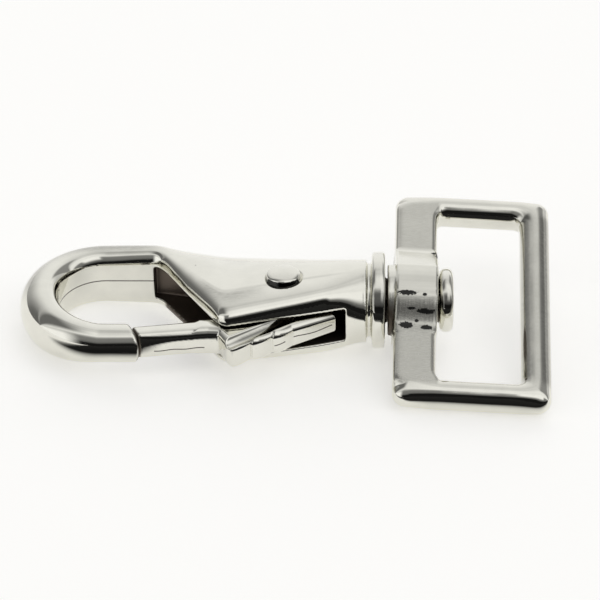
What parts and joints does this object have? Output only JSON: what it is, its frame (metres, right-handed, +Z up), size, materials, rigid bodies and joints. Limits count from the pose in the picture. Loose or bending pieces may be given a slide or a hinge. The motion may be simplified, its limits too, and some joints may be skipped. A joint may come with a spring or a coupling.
{
  "type": "swivel snap hook",
  "caption": "Cast swivel snap hook with a sprung side gate, an open nose eye and a flat strap loop that turns on a headed shank.",
  "frame": {"origin": "centre of the bounding box's bottom face, on the surface the hook lies on", "axes": "+X along the length from the hook's eye to the strap loop, +Y across towards the rigid arm's side, +Z up from the surface it lies on"},
  "size_m": [0.0628, 0.0306, 0.0124],
  "materials": {
    "plated_casting": "polished nickel plate over a die casting, with fine scratches and small casting pits",
    "spring_wire": "drawn wire"
  },
  "bodies": {
    "body": {"hook_body": "plated_casting", "gate_rivet": "plated_casting", "gate_spring": "spring_wire"},
    "gate": {"gate_lever": "plated_casting"},
    "loop": {"strap_loop": "plated_casting"}
  },
  "joints": [
    {"name": "gate_pivot", "type": "hinge", "parent": "body", "child": "gate", "pos_m": [-0.00019, -0.0019, 0.00524], "axis": [0.0616, 0, -0.9981], "range_deg": [0, 24], "stiffness_Nm_per_rad": 0.03, "springref_deg": -22.92, "deforming": ["gate_spring"]},
    {"name": "loop_swivel", "type": "hinge", "parent": "body", "child": "loop", "pos_m": [0.01533, 0, 0.00619], "axis": [0.9981, 0, 0.0616], "continuous": true}
  ]
}
